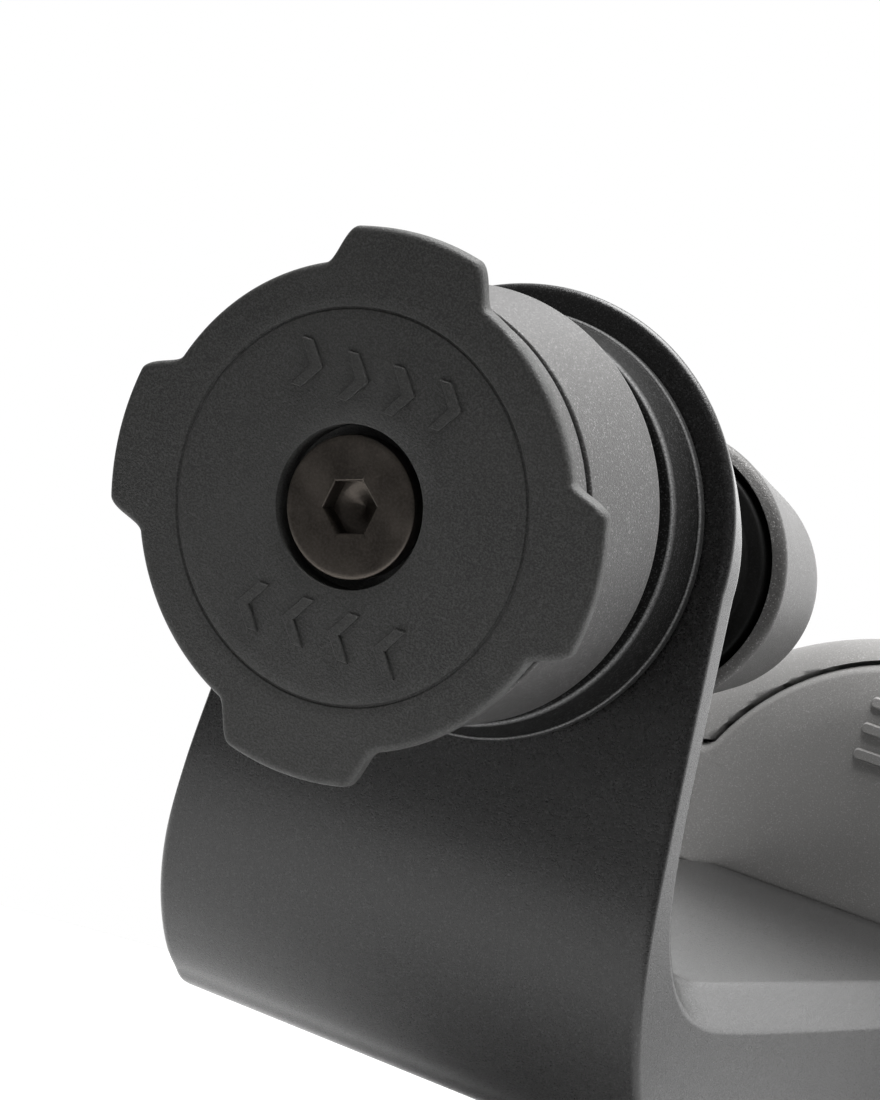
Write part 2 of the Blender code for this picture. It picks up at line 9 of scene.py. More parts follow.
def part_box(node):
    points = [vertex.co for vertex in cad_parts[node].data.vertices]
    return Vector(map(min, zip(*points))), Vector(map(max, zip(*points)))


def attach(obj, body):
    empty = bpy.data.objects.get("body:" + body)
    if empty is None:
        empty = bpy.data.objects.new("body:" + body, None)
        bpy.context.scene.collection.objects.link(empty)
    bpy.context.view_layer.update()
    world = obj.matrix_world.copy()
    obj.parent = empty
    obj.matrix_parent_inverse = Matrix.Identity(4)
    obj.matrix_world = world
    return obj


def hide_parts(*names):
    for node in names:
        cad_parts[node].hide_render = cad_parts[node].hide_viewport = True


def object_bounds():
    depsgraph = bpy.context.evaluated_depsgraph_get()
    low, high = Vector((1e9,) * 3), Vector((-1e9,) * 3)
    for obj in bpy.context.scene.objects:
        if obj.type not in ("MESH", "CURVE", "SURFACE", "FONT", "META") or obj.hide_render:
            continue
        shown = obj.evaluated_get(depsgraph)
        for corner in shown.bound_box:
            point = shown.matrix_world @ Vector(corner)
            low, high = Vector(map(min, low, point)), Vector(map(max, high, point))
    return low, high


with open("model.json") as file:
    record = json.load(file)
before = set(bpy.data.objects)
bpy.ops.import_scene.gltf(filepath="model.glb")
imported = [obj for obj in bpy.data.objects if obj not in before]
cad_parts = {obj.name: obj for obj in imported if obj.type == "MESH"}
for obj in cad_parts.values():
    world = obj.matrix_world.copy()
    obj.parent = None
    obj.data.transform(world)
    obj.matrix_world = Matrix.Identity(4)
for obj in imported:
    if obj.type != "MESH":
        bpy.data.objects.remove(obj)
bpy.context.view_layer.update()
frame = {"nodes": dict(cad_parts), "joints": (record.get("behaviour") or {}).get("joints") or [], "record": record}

MM = 0.001

# Lengths are millimetres in the working frame: X right, Y from the head's face to the glass,
# Z up from the swivel axis. The joints and the suction pad's box carry them into the row frame.
JOINTS = {joint["name"]: joint for joint in frame["joints"]}
SWIVEL_DEPTH = 10.9
SWIVEL = Vector(JOINTS["head_tilt"]["pos_m"])
ZERO = SWIVEL - Vector((0.0, SWIVEL_DEPTH * MM, 0.0))
HEAD_AXIS = Vector(JOINTS["head_roll"]["axis"])
HEAD_TILT = math.atan2(HEAD_AXIS.z, HEAD_AXIS.y)
BASE_Z = (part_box("gel_pad")[0].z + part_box("gel_pad")[1].z) / 2 / MM - ZERO.z / MM

LOBE_RADIUS = 17.2
DISC_RADIUS = 15.1
DISC_THICK = 1.35
LOBE_HALF_ANGLE = math.radians(18.2)
LOBE_FLANK = math.radians(4.2)
GROOVE_RADIUS = 12.2
SPIGOT_RADIUS = 12.2
SPIGOT_BACK = 4.1
HEAD_BORE = 2.9
SOCKET_TURN = math.radians(17.0)
HEAD_STEPS = 720
RECESS_RADIUS = 5.1
MARK_HEIGHT = 7.7
MARK_PITCH = 3.3
MARK_ARM = 1.45
MARK_STROKE = 0.5
MARK_RAISE = 0.2
RECESS_DEPTH = 1.6
SCREW_FRONT = 0.14
SCREW_BACK = 9.6
SCREW_RADIUS = 4.46
SHANK_RADIUS = 2.5
KEY_RADIUS = 1.85
KEY_DEPTH = 1.5
SCREW_STEPS = 240
COLLAR_FRONT = 4.7
COLLAR_BACK = 15.2
COLLAR_RADIUS = 14.2
COLLAR_GAP = 0.3
COLLAR_STEP = 7.4
COLLAR_BORE = 12.85
COLLAR_LIP_BORE = 11.0
BAND_FRONT = 1.65
BAND_RADIUS = 14.1
BAND_BORE = 12.1
STOP_FRONT = 12.9
STOP_THICK = 1.0
STOP_RADIUS = 12.45
STOP_BORE = 10.75
BALL_RADIUS = 10.5
BALL_INNER = 8.2
BALL_MOUTH = (8.2, 4.75)
SEAT_FRONT = 18.15
SEAT_MOUTH = 9.2
SEAT_RADIUS = 13.57
SEAT_BASE = 14.34
SEAT_BASE_Y = 21.44
SEAT_BACK = 22.1
SEAT_BORE = 6.2
SLEEVE_RADIUS = 5.3
SLEEVE_BORE = 3.3
SLEEVE_FRONT = 27.7
SLEEVE_BACK = 46.6
# (radius, half width) of the seat ring's two rounded edges that get a painted highlight
SEAT_HIGHLIGHT_EDGES = ((13.55, 0.13), (14.26, 0.09))
PLATE_RADIUS = 16.2
PLATE_FRONT = 22.4
PLATE_THICK = 5.0
# Taper of the plate's round top for each unit of depth, and the cosines over which it fades in
PLATE_DRAFT = 0.33
DRAFT_START = 0.5
DRAFT_LOW = 0.0
DRAFT_HIGH = 0.6
# (radius, along, rounding) of the black ring before the knob
NECK = (
    (3.3, 46.9, 0.0),
    (7.3, 46.9, 0.3),
    (7.5, 47.9, 0.2),
    (8.8, 48.0, 0.3),
    (8.9, 50.0, 0.25),
    (3.3, 50.0, 0.0),
)
KNOB_FRONT = 48.2
# (radius, distance behind the front, rounding) of the knob's outside, then of its plugged back
KNOB_SIDE = ((5.3, 2.7, 0.0), (9.2, 2.7, 0.2), (9.35, 0.0, 0.08), (10.28, 0.55, 0.7), (8.2, 12.8, 3.0))
KNOB_BACK = ((7.55, 14.7, 1.6), (6.6, 15.1, 0.6), (5.3, 15.1, 0.2), (5.3, 14.3, 0.0))
PLUG = (
    (0.0, 13.4, 0.0),
    (5.0, 13.4, 0.0),
    (5.0, 14.8, 0.3),
    (3.6, 14.9, 0.2),
    (3.3, 14.6, 0.2),
    (0.0, 14.6, 0.0),
)
HOUSING_FRONT = 122.0
HOUSING_BACK = 143.0
HOUSING_RADIUS = 32.8
DOME_START = 23.5
DOME_DEPTH = 6.0
DOME_STEPS = 24
HOUSING_INNER = 28.6
HOUSING_DECK = 8.5
CLAMP_DEPTH = 4.0
CLAMP_RADIUS = 6.4
BOLT_BORE = 2.6
POCKET_DEPTH = 6.0
LEVER_DOME = 21.7
LEVER_CENTRE = -24.0
LEVER_WAIST = 23.0
LEVER_SHOULDER = -15.5
LEVER_ARC_START = math.radians(24.5)
LEVER_LOW = -26.2
LEVER_GAP = 0.3
LEVER_ROUND = 1.2
LEVER_FOCUS = -19.0
LEVER_BACK = 5.3
SWEEP_RADIUS = 5.8
CAM_GAP = 2.7
BAR_TOP = -7.0
BAR_PITCH = 2.4
BAR_REACH = 6.4
HINGE = Vector(JOINTS["lever_flip"]["pos_m"])
# (radius, along, rounding) of the rubber cup and its tacky pad
CUP = (
    (0.0, 141.2, 0.0),
    (26.0, 141.2, 0.0),
    (28.2, 142.2, 0.4),
    (28.2, 143.3, 0.2),
    (30.6, 143.4, 0.6),
    (31.3, 144.6, 0.7),
    (31.4, 148.2, 1.0),
    (30.8, 150.5, 0.8),
    (0.0, 150.5, 0.0),
)
PAD = ((0.0, 150.8, 0.0), (30.0, 150.8, 0.1), (30.0, 152.0, 0.35), (0.0, 152.0, 0.0))

# (outer y, outer z, inner y, inner z, half width) down the plate and along the foot
ARM_ROWS = (
    (22.4, 0.0, 27.4, 0.0, 16.2),
    (22.6, -8.0, 27.6, -8.0, 17.0),
    (23.1, -15.5, 28.1, -15.0, 17.65),
    (23.8, -22.5, 28.9, -19.8, 18.25),
    (25.4, -28.2, 30.6, -22.9, 18.75),
    (28.6, -33.2, 33.2, -24.8, 19.1),
    (33.2, -37.2, 36.9, -25.7, 19.3),
    (39.0, -38.9, 42.0, -25.9, 19.4),
    (60.0, -38.9, 60.0, -25.7, 19.4),
    (90.0, -38.9, 90.0, -25.4, 19.2),
    (121.0, -38.9, 121.0, -25.4, 18.8),
)

# Floor, lights and camera: metres, except the aim, which is in the working frame
FLOOR_GAP = 0.001
FLOOR_REACH = 0.18
FLOOR_COLOUR = (0.62, 0.62, 0.62, 1.0)
FRONT_GLOW = 0.16
BACK_GLOW = 1.15
LOW_SHARE = 0.35
# (name, place from the swivel, size, watts)
LIGHTS = (
    ("top_box", (0.0, 0.05, 0.75), (0.6, 0.7), 18.0),
    ("back_box", (0.15, 0.85, 0.30), (1.0, 0.8), 3.0),
)
CAMERA_AIM = (5.6, 2.6, -2.25)
CAMERA_TURN = math.radians(25.56)
CAMERA_RISE = math.radians(1.85)
CAMERA_ROLL = math.radians(17.78)
CAMERA_DISTANCE = 0.24566
CAMERA_LENS = 131.7
# Where the room goes from its front glow to its back glow, and from dim below to full above
WORLD_DARK = (-0.1, 0.7)
WORLD_LOW = (-0.6, 0.15)


# Places


def upright(point):
    """Working frame to row frame."""
    return ZERO + Vector(point) * MM


def tilted(point):
    """Along the head axis to row frame."""
    pivot = Vector((0.0, SWIVEL_DEPTH, 0.0))
    turned_point = Matrix.Rotation(HEAD_TILT, 3, "X") @ (Vector(point) - pivot) + pivot
    return ZERO + turned_point * MM


# Materials


class Look:
    """A node material with fine grain, blotches, worn patches and painted highlights on edges."""

    def __init__(self, name, roughness, metallic=0.0):
        self.material = bpy.data.materials.new(name)
        self.material.use_nodes = True
        self.tree = self.material.node_tree
        self.shader = self.tree.nodes["Principled BSDF"]
        self.shader.inputs["Roughness"].default_value = roughness
        self.shader.inputs["Metallic"].default_value = metallic
        self.place = self.tree.nodes.new("ShaderNodeTexCoord").outputs["Object"]

    def node(self, kind, **settings):
        made = self.tree.nodes.new(kind)
        for key, value in settings.items():
            if key in made.inputs:
                made.inputs[key].default_value = value
            else:
                setattr(made, key, value)
        return made

    def link(self, start, end):
        self.tree.links.new(start, end)

    def grain(self, scale, detail=2.0, roughness=0.5, stretch=(1.0, 1.0, 1.0)):
        mapping = self.node("ShaderNodeMapping", vector_type="POINT")
        mapping.inputs["Scale"].default_value = stretch
        self.link(self.place, mapping.inputs["Vector"])
        made = self.node("ShaderNodeTexNoise", Scale=scale, Detail=detail, Roughness=roughness)
        self.link(mapping.outputs["Vector"], made.inputs["Vector"])
        return made.outputs["Fac"]

    def cells(self, scale):
        made = self.node("ShaderNodeTexVoronoi", Scale=scale)
        self.link(self.place, made.inputs["Vector"])
        return made

    def ramp(self, source, stops):
        made = self.node("ShaderNodeValToRGB")
        ramp = made.color_ramp
        while len(ramp.elements) < len(stops):
            ramp.elements.new(0.5)
        for element, (position, colour) in zip(ramp.elements, stops):
            element.position = position
            element.color = (*colour, 1.0)
        self.link(source, made.inputs["Fac"])
        return made.outputs["Color"]

    def span(self, source, low, high, start=0.0, end=1.0):
        made = self.node("ShaderNodeMapRange")
        made.inputs["From Min"].default_value = start
        made.inputs["From Max"].default_value = end
        made.inputs["To Min"].default_value = low
        made.inputs["To Max"].default_value = high
        self.link(source, made.inputs["Value"])
        return made.outputs["Result"]

    def near_radius(self, radius, half_width):
        """1 this far from the swivel axis, falling to 0 either side."""
        mapping = self.node("ShaderNodeMapping", vector_type="POINT")
        mapping.inputs["Location"].default_value = (-ZERO.x, 0.0, -ZERO.z)
        mapping.inputs["Scale"].default_value = (1.0, 0.0, 1.0)
        self.link(self.place, mapping.inputs["Vector"])
        length = self.node("ShaderNodeVectorMath", operation="LENGTH")
        self.link(mapping.outputs["Vector"], length.inputs[0])
        away = self.node("ShaderNodeMath", operation="SUBTRACT")
        self.link(length.outputs["Value"], away.inputs[0])
        away.inputs[1].default_value = radius
        size = self.node("ShaderNodeMath", operation="ABSOLUTE")
        self.link(away.outputs["Value"], size.inputs[0])
        return self.span(size.outputs["Value"], 1.0, 0.0, 0.0, half_width)

    def mix(self, factor, first, second):
        """first where the factor is 0, second where it is 1; each a number, a colour or a socket."""
        made = self.node("ShaderNodeMix", data_type="RGBA")
        for socket, value in ((made.inputs[0], factor), (made.inputs[6], first), (made.inputs[7], second)):
            if isinstance(value, (int, float)):
                socket.default_value = value
            elif isinstance(value, tuple):
                socket.default_value = (*value, 1.0)
            else:
                self.link(value, socket)
        return made.outputs[2]

    def bumps(self, *layers):
        """Layers of (height, strength, distance in metres), one over the other."""
        normal = None
        for height, strength, distance in layers:
            made = self.node("ShaderNodeBump", Strength=strength, Distance=distance)
            self.link(height, made.inputs["Height"])
            if normal:
                self.link(normal, made.inputs["Normal"])
            normal = made.outputs["Normal"]
        self.link(normal, self.shader.inputs["Normal"])

    def colour(self, value):
        self.link(value, self.shader.inputs["Base Color"])

    def rough(self, value):
        self.link(value, self.shader.inputs["Roughness"])


def flecked(look, base, fleck, scale, share):
    """The base colour with this share of tiny cells in the fleck colour."""
    cells = look.cells(scale).outputs["Color"]
    level = look.node("ShaderNodeSeparateColor")
    look.link(cells, level.inputs["Color"])
    chosen = look.span(level.outputs["Red"], 0.0, 1.0, 1.0 - share, 1.0 - share * 0.5)
    return look.mix(chosen, base, fleck)


def handled(look, base, rubbed, scale=45.0):
    """The base colour with soft paler patches where it has been handled."""
    patch = look.grain(scale, 4.0, 0.6)
    return look.mix(look.span(patch, 0.0, 0.5, 0.52, 0.75), base, rubbed)


def moulded_plastic():
    look = Look("moulded_plastic", 0.5)
    fine = look.grain(7500.0, 3.0, 0.6)
    soft = look.grain(700.0, 3.0)
    flow = look.grain(90.0, 2.0, stretch=(1.0, 0.4, 2.0))
    dark = look.ramp(flow, ((0.3, (0.0250, 0.0250, 0.0242)), (0.7, (0.0310, 0.0308, 0.0297))))
    salted = look.mix(look.span(fine, 0.0, 0.8, 0.42, 0.68), dark, (0.075, 0.075, 0.072))
    look.colour(handled(look, salted, (0.050, 0.050, 0.048)))
    look.rough(look.span(soft, 0.46, 0.60, 0.3, 0.7))
    look.bumps((fine, 0.85, 0.00006), (soft, 0.10, 0.0001))
    look.shader.inputs["Specular IOR Level"].default_value = 0.40
    return look.material


def coated_metal():
    look = Look("coated_metal", 0.34)
    fine = look.grain(8000.0, 3.0, 0.65)
    soft = look.grain(900.0, 2.0)
    blotch = look.grain(60.0, 2.0)
    dark = look.ramp(blotch, ((0.3, (0.0050, 0.0049, 0.0049)), (0.7, (0.0075, 0.0073, 0.0073))))
    salted = look.mix(look.span(fine, 0.0, 0.7, 0.45, 0.80), dark, (0.026, 0.0255, 0.0255))
    sparks = flecked(look, salted, (0.034, 0.034, 0.0345), 12500.0, 0.16)
    look.colour(handled(look, sparks, (0.014, 0.0137, 0.0137)))
    look.rough(look.span(fine, 0.24, 0.34, 0.3, 0.7))
    look.shader.inputs["Specular IOR Level"].default_value = 0.50
    look.bumps((fine, 0.45, 0.00005), (soft, 0.10, 0.00006))
    return look.material


def blasted(name, dark, pale, salt, roughness, fleck=1.5, grain=0.55):
    """Bead-blasted metal: a fine salt-and-pepper grain with soft blotches."""
    look = Look(name, roughness, 0.3)
    fine = look.grain(7600.0, 3.0, 0.65)
    blotch = look.grain(80.0, 3.0)
    grey = look.ramp(blotch, ((0.3, dark), (0.7, pale)))
    mottled = look.mix(look.span(fine, 0.0, 0.8, 0.35, 0.75), grey, salt)
    look.colour(flecked(look, mottled, tuple(fleck * v for v in salt), 12000.0, 0.08))
    look.rough(look.span(blotch, roughness - 0.04, roughness + 0.05, 0.3, 0.7))
    look.bumps((fine, grain, 0.00006))
    look.shader.inputs["Specular IOR Level"].default_value = 0.25
    return look.material


def dull_black():
    look = Look("dull_black", 0.55)
    fine = look.grain(7000.0, 3.0, 0.6)
    soft = look.grain(300.0, 3.0)
    dark = look.ramp(soft, ((0.3, (0.0050, 0.0050, 0.0048)), (0.7, (0.0075, 0.0075, 0.0072))))
    look.colour(look.mix(look.span(fine, 0.0, 0.6, 0.5, 0.8), dark, (0.020, 0.020, 0.020)))
    look.rough(look.span(soft, 0.48, 0.62, 0.3, 0.7))
    look.bumps((fine, 0.30, 0.00005))
    look.shader.inputs["Specular IOR Level"].default_value = 0.10
    return look.material


def seat_black():
    """The arm's coating made darker as painted shade, with a painted highlight on its two rounded edges, broken up
    by the grain.
    """
    look = Look("seat_black", 0.36)
    fine = look.grain(8000.0, 3.0, 0.65)
    soft = look.grain(300.0, 3.0)
    # Painted shade: the arm's coating colours, made darker for this ring.
    dark = look.ramp(soft, ((0.3, (0.0040, 0.0040, 0.0039)), (0.7, (0.0060, 0.0060, 0.0058))))
    salted = look.mix(look.span(fine, 0.0, 0.7, 0.45, 0.80), dark, (0.018, 0.018, 0.018))
    sparks = flecked(look, salted, (0.030, 0.030, 0.0305), 12500.0, 0.16)
    # Painted highlight: a pale grey band along each rounded edge, broken up by the fine grain.
    for radius, half_width in SEAT_HIGHLIGHT_EDGES:
        edge_highlight = look.near_radius(radius * MM, half_width * MM)
        broken = look.node("ShaderNodeMath", operation="MULTIPLY")
        look.link(edge_highlight, broken.inputs[0])
        look.link(look.span(fine, 0.35, 1.0, 0.35, 0.60), broken.inputs[1])
        sparks = look.mix(broken.outputs["Value"], sparks, (0.22, 0.22, 0.22))
    look.colour(sparks)
    look.rough(look.span(fine, 0.42, 0.58, 0.3, 0.7))
    look.bumps((fine, 0.60, 0.00006))
    look.shader.inputs["Specular IOR Level"].default_value = 0.08
    return look.material


def black_oxide():
    look = Look("black_oxide", 0.33, 0.85)
    patch = look.grain(420.0, 3.0)
    fine = look.grain(6000.0, 3.0)
    tone = look.ramp(patch, ((0.3, (0.058, 0.050, 0.043)), (0.7, (0.092, 0.080, 0.069))))
    look.colour(look.mix(look.span(fine, 0.0, 0.6, 0.4, 0.8), tone, (0.13, 0.112, 0.097)))
    look.rough(look.span(patch, 0.30, 0.44, 0.3, 0.7))
    look.bumps((fine, 0.25, 0.00004), (patch, 0.10, 0.00008))
    return look.material


def plated_steel():
    look = Look("plated_steel", 0.28, 1.0)
    lines = look.grain(900.0, 3.0, stretch=(1.0, 6.0, 1.0))
    patch = look.grain(200.0, 2.0)
    look.colour(look.ramp(patch, ((0.3, (0.42, 0.42, 0.43)), (0.7, (0.56, 0.56, 0.56)))))
    look.rough(look.span(lines, 0.22, 0.38, 0.3, 0.7))
    look.bumps((lines, 0.15, 0.00004))
    return look.material


def turned_brass():
    look = Look("turned_brass", 0.3, 1.0)
    lines = look.grain(1200.0, 3.0, stretch=(1.0, 8.0, 1.0))
    patch = look.grain(150.0, 2.0)
    look.colour(look.ramp(patch, ((0.3, (0.55, 0.40, 0.18)), (0.7, (0.68, 0.51, 0.26)))))
    look.rough(look.span(lines, 0.24, 0.40, 0.3, 0.7))
    look.bumps((lines, 0.2, 0.00004))
    return look.material


def soft_rubber():
    look = Look("soft_rubber", 0.72)
    fine = look.grain(2600.0, 3.0)
    patch = look.grain(140.0, 3.0)
    tone = look.ramp(patch, ((0.3, (0.011, 0.011, 0.011)), (0.7, (0.020, 0.020, 0.020))))
    look.colour(handled(look, tone, (0.035, 0.035, 0.035)))
    look.rough(look.span(patch, 0.62, 0.80, 0.3, 0.7))
    look.bumps((fine, 0.3, 0.00008), (patch, 0.08, 0.0003))
    look.shader.inputs["Specular IOR Level"].default_value = 0.35
    return look.material


def tacky_gel():
    look = Look("tacky_gel", 0.2)
    ripple = look.grain(70.0, 3.0)
    dust = look.cells(900.0)
    speck = look.span(dust.outputs["Distance"], 1.0, 0.0, 0.0, 0.10)
    look.colour(look.mix(speck, (0.045, 0.046, 0.050), (0.10, 0.10, 0.10)))
    look.rough(look.span(ripple, 0.14, 0.30, 0.3, 0.7))
    look.bumps((ripple, 0.25, 0.0006))
    return look.material


MOULDED = moulded_plastic()
COATED = coated_metal()
BLASTED = blasted(
    "blasted_metal", (0.038, 0.037, 0.037), (0.050, 0.049, 0.048), (0.120, 0.118, 0.117), 0.40
)
KNOB_BLASTED = blasted(
    "knob_blasted", (0.058, 0.056, 0.055), (0.074, 0.072, 0.070), (0.13, 0.128, 0.126), 0.46
)
PALE_BLASTED = blasted(
    "pale_blasted", (0.18, 0.177, 0.173), (0.21, 0.207, 0.203), (0.27, 0.266, 0.261), 0.50, 1.1, 0.3
)
DULL = dull_black()
SEAT_BLACK = seat_black()
OXIDE = black_oxide()
STEEL = plated_steel()
BRASS = turned_brass()
RUBBER = soft_rubber()
GEL = tacky_gel()
BY_SLOT = {
    "moulded": MOULDED,
    "coated": COATED,
    "satin": BLASTED,
    "oxide": OXIDE,
    "steel": STEEL,
    "brass": BRASS,
    "rubber": RUBBER,
    "gel": GEL,
}


def dress_nodes():
    """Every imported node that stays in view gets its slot's material."""
    slots = {part["node"]: part["material_slot"] for part in frame["record"]["subparts"]}
    for name, node in frame["nodes"].items():
        node.data.materials.clear()
        node.data.materials.append(BY_SLOT[slots[name]])


# Mesh helpers


def piece(name, points, faces, material, body, slot, stands_for=(), place=upright, angle=40.0):
    mesh = bpy.data.meshes.new(name)
    mesh.from_pydata([place(point) for point in points], [], faces)
    shape = bmesh.new()
    shape.from_mesh(mesh)
    bmesh.ops.recalc_face_normals(shape, faces=shape.faces)
    if shape.calc_volume(signed=True) < 0:
        bmesh.ops.reverse_faces(shape, faces=shape.faces)
    shape.to_mesh(mesh)
    shape.free()
    mesh.shade_smooth()
    mesh.set_sharp_from_angle(angle=math.radians(angle))
    mesh.materials.append(material)
    made = bpy.data.objects.new(name, mesh)
    bpy.context.scene.collection.objects.link(made)
    flatten_shading(made)
    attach(made, body)
    if stands_for:
        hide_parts(*stands_for)
    return made


def flatten_shading(target):
    """Lets large flat faces keep their own normals beside their rounded edges."""
    modifier = target.modifiers.new("even_normals", "WEIGHTED_NORMAL")
    modifier.keep_sharp = True
    modifier.weight = 60


def fillet(corners, steps=5):
    """(x, y, radius) corners as a path with each corner rounded to its radius."""
    path = []
    for i, (x, y, radius) in enumerate(corners):
        here = Vector((x, y))
        if radius <= 0 or i in (0, len(corners) - 1):
            path.append((x, y))
            continue
        back = Vector(corners[i - 1][:2]) - here
        ahead = Vector(corners[i + 1][:2]) - here
        reach = min(radius, back.length * 0.48, ahead.length * 0.48)
        start = here + back.normalized() * reach
        end = here + ahead.normalized() * reach
        for k in range(steps + 1):
            t = k / steps
            point = start * (1 - t) ** 2 + here * (2 * t * (1 - t)) + end * t * t
            path.append((point.x, point.y))
    return path


def closed_fillet(corners, steps=5):
    """The same for a closed loop of corners."""
    return fillet([corners[-1]] + list(corners) + [corners[0]], steps)[1:-1]


def turned(profile, sides, centre=(0.0, 0.0)):
    """Points and faces of (radius, along) corners turned about an axis parallel to Y."""
    points = []
    rings = []
    for radius, along in profile:
        if radius < 1e-6:
            rings.append([len(points)])
            points.append((centre[0], along, centre[1]))
            continue
        rings.append(list(range(len(points), len(points) + sides)))
        for i in range(sides):
            angle = 2 * math.pi * i / sides
            points.append((centre[0] + radius * math.cos(angle), along, centre[1] + radius * math.sin(angle)))
    faces = []
    pairs = list(zip(rings, rings[1:]))
    if len(rings[0]) > 1 and len(rings[-1]) > 1:
        pairs.append((rings[-1], rings[0]))
    for first, second in pairs:
        faces += strip(first, second)
    return points, faces


def strip(first, second):
    count = max(len(first), len(second))
    faces = []
    for i in range(count):
        j = (i + 1) % count
        if len(first) == 1:
            faces.append((first[0], second[i], second[j]))
        elif len(second) == 1:
            faces.append((first[j], first[i], second[0]))
        else:
            faces.append((first[i], second[i], second[j], first[j]))
    return faces


def lathe(name, profile, material, body, slot, stands_for=(), place=upright, sides=128, centre=(0.0, 0.0)):
    points, faces = turned(profile, sides, centre)
    return piece(name, points, faces, material, body, slot, stands_for, place)


def stacked(loops, cap_start=True, cap_end=True):
    """Points and faces through loops of equal length."""
    count = len(loops[0])
    points = [point for loop in loops for point in loop]
    faces = []
    for k in range(len(loops) - 1):
        faces += strip(list(range(k * count, (k + 1) * count)), list(range((k + 1) * count, (k + 2) * count)))
    if cap_start:
        faces.append(tuple(range(count)))
    if cap_end:
        faces.append(tuple(range((len(loops) - 1) * count, len(loops) * count)))
    return points, faces


# Head


def blend(t):
    return t * t * (3.0 - 2.0 * t)


def lobe_outline():
    """The head's outline as (x, z), with its four lobes."""
    outline = []
    for i in range(HEAD_STEPS):
        angle = 2 * math.pi * i / HEAD_STEPS
        away = abs((angle + math.pi / 4) % (math.pi / 2) - math.pi / 4)
        t = (LOBE_HALF_ANGLE + LOBE_FLANK - away) / (2 * LOBE_FLANK)
        radius = DISC_RADIUS + (LOBE_RADIUS - DISC_RADIUS) * blend(min(max(t, 0.0), 1.0))
        outline.append(Vector((radius * math.cos(angle), radius * math.sin(angle))))
    return outline


def drawn_in(outline, inset):
    """The outline moved in square to itself."""
    moved = []
    for i, here in enumerate(outline):
        run = outline[(i + 1) % len(outline)] - outline[i - 1]
        moved.append(here + Vector((-run.y, run.x)).normalized() * inset)
    return moved


def circle(radius, steps=None):
    steps = steps or HEAD_STEPS
    angles = [2 * math.pi * i / steps for i in range(steps)]
    return [Vector((radius * math.cos(a), radius * math.sin(a))) for a in angles]


def ring_at(loop, along):
    return [(x, along, z) for x, z in loop]


def make_head():
    """Lofted from the spigot, round the lobed edge and across the face to the recess and the bore."""
    outline = lobe_outline()
    thick = DISC_THICK
    loops = [ring_at(circle(SPIGOT_RADIUS), SPIGOT_BACK), ring_at(circle(SPIGOT_RADIUS), thick)]
    edge = ((0.7, thick), (0.30, thick - 0.03), (0.09, thick - 0.14), (0.0, thick - 0.34), (0.0, 0.42))
    edge += ((0.03, 0.28), (0.10, 0.15), (0.21, 0.06), (0.36, 0.01), (0.52, 0.0), (0.75, 0.0))
    for inset, along in edge:
        loops.append(ring_at(drawn_in(outline, inset), along))
    groove = ((0.9, 0.0), (0.22, 0.0), (0.13, 0.03), (0.05, 0.13), (-0.05, 0.13), (-0.13, 0.03), (-0.22, 0.0))
    for out, along in groove + ((-0.9, 0.0),):
        loops.append(ring_at(circle(GROOVE_RADIUS + out), along))
    rim = RECESS_RADIUS
    bowl = ((rim + 1.5, 0.0), (rim + 0.10, 0.0), (rim + 0.03, 0.03), (rim, 0.10), (rim - 0.02, RECESS_DEPTH))
    floor = RECESS_DEPTH + 0.02
    for radius, along in bowl + ((rim - 0.2, floor), (HEAD_BORE, floor), (HEAD_BORE, SPIGOT_BACK)):
        loops.append(ring_at(circle(radius), along))
    points, faces = stacked(loops, False, False)
    last = (len(loops) - 1) * HEAD_STEPS
    faces += strip(list(range(last, last + HEAD_STEPS)), list(range(HEAD_STEPS)))
    piece("twist_head", points, faces, MOULDED, "head", "moulded", ["mount_head"], tilted, 30.0)
    for row, height in (("upper", MARK_HEIGHT), ("lower", -MARK_HEIGHT)):
        make_marks(row, height)


def make_marks(row, height):
    """A row of raised arrowheads that point the way the head turns, where there would be lettering."""
    side = 1 if height > 0 else -1
    for index in range(4):
        middle = (index - 1.5) * MARK_PITCH
        make_chevron(f"turn_mark_{row}_{index + 1}", middle, height, side)


def make_chevron(name, x, z, side):
    arm = MARK_ARM
    reach = arm * 0.6
    inner = -reach + MARK_STROKE * 1.3
    outline = [(-reach, arm), (inner, arm), (reach, 0.0), (inner, -arm)]
    outline += [(-reach, -arm), (reach - MARK_STROKE * 1.5, 0.0)]
    loops = []
    for grow, along in ((0.06, 0.04), (0.05, -MARK_RAISE * 0.7), (0.0, -MARK_RAISE)):
        loop = []
        for u, v in grown(outline, grow):
            loop.append((x + side * u, along, z + v))
        loops.append(loop)
    points, faces = stacked(loops)
    piece(name, points, faces, MOULDED, "head", "moulded", (), tilted, 20.0)


def grown(outline, amount):
    """An outline with each corner moved out along its two sides' normals."""
    count = len(outline)
    area = sum(outline[i][0] * outline[(i + 1) % count][1] - outline[(i + 1) % count][0] * outline[i][1]
               for i in range(count))
    sign = 1.0 if area > 0 else -1.0
    moved = []
    for i in range(count):
        here = Vector(outline[i])
        back = (here - Vector(outline[i - 1])).normalized()
        ahead = (Vector(outline[(i + 1) % count]) - here).normalized()
        first = Vector((back.y, -back.x)) * sign
        second = Vector((ahead.y, -ahead.x)) * sign
        middle = (first + second).normalized()
        moved.append(tuple(here + middle * (amount / max(middle.dot(first), 0.35))))
    return moved


def hexagon(reach, turn, steps):
    """A hexagon with its corners this far out, as many steps as the circles around it."""
    outline = []
    for i in range(steps):
        angle = 2 * math.pi * i / steps
        away = (angle - turn) % (math.pi / 3) - math.pi / 6
        radius = reach * math.cos(math.pi / 6) / math.cos(away)
        outline.append((radius * math.cos(angle), radius * math.sin(angle)))
    return outline


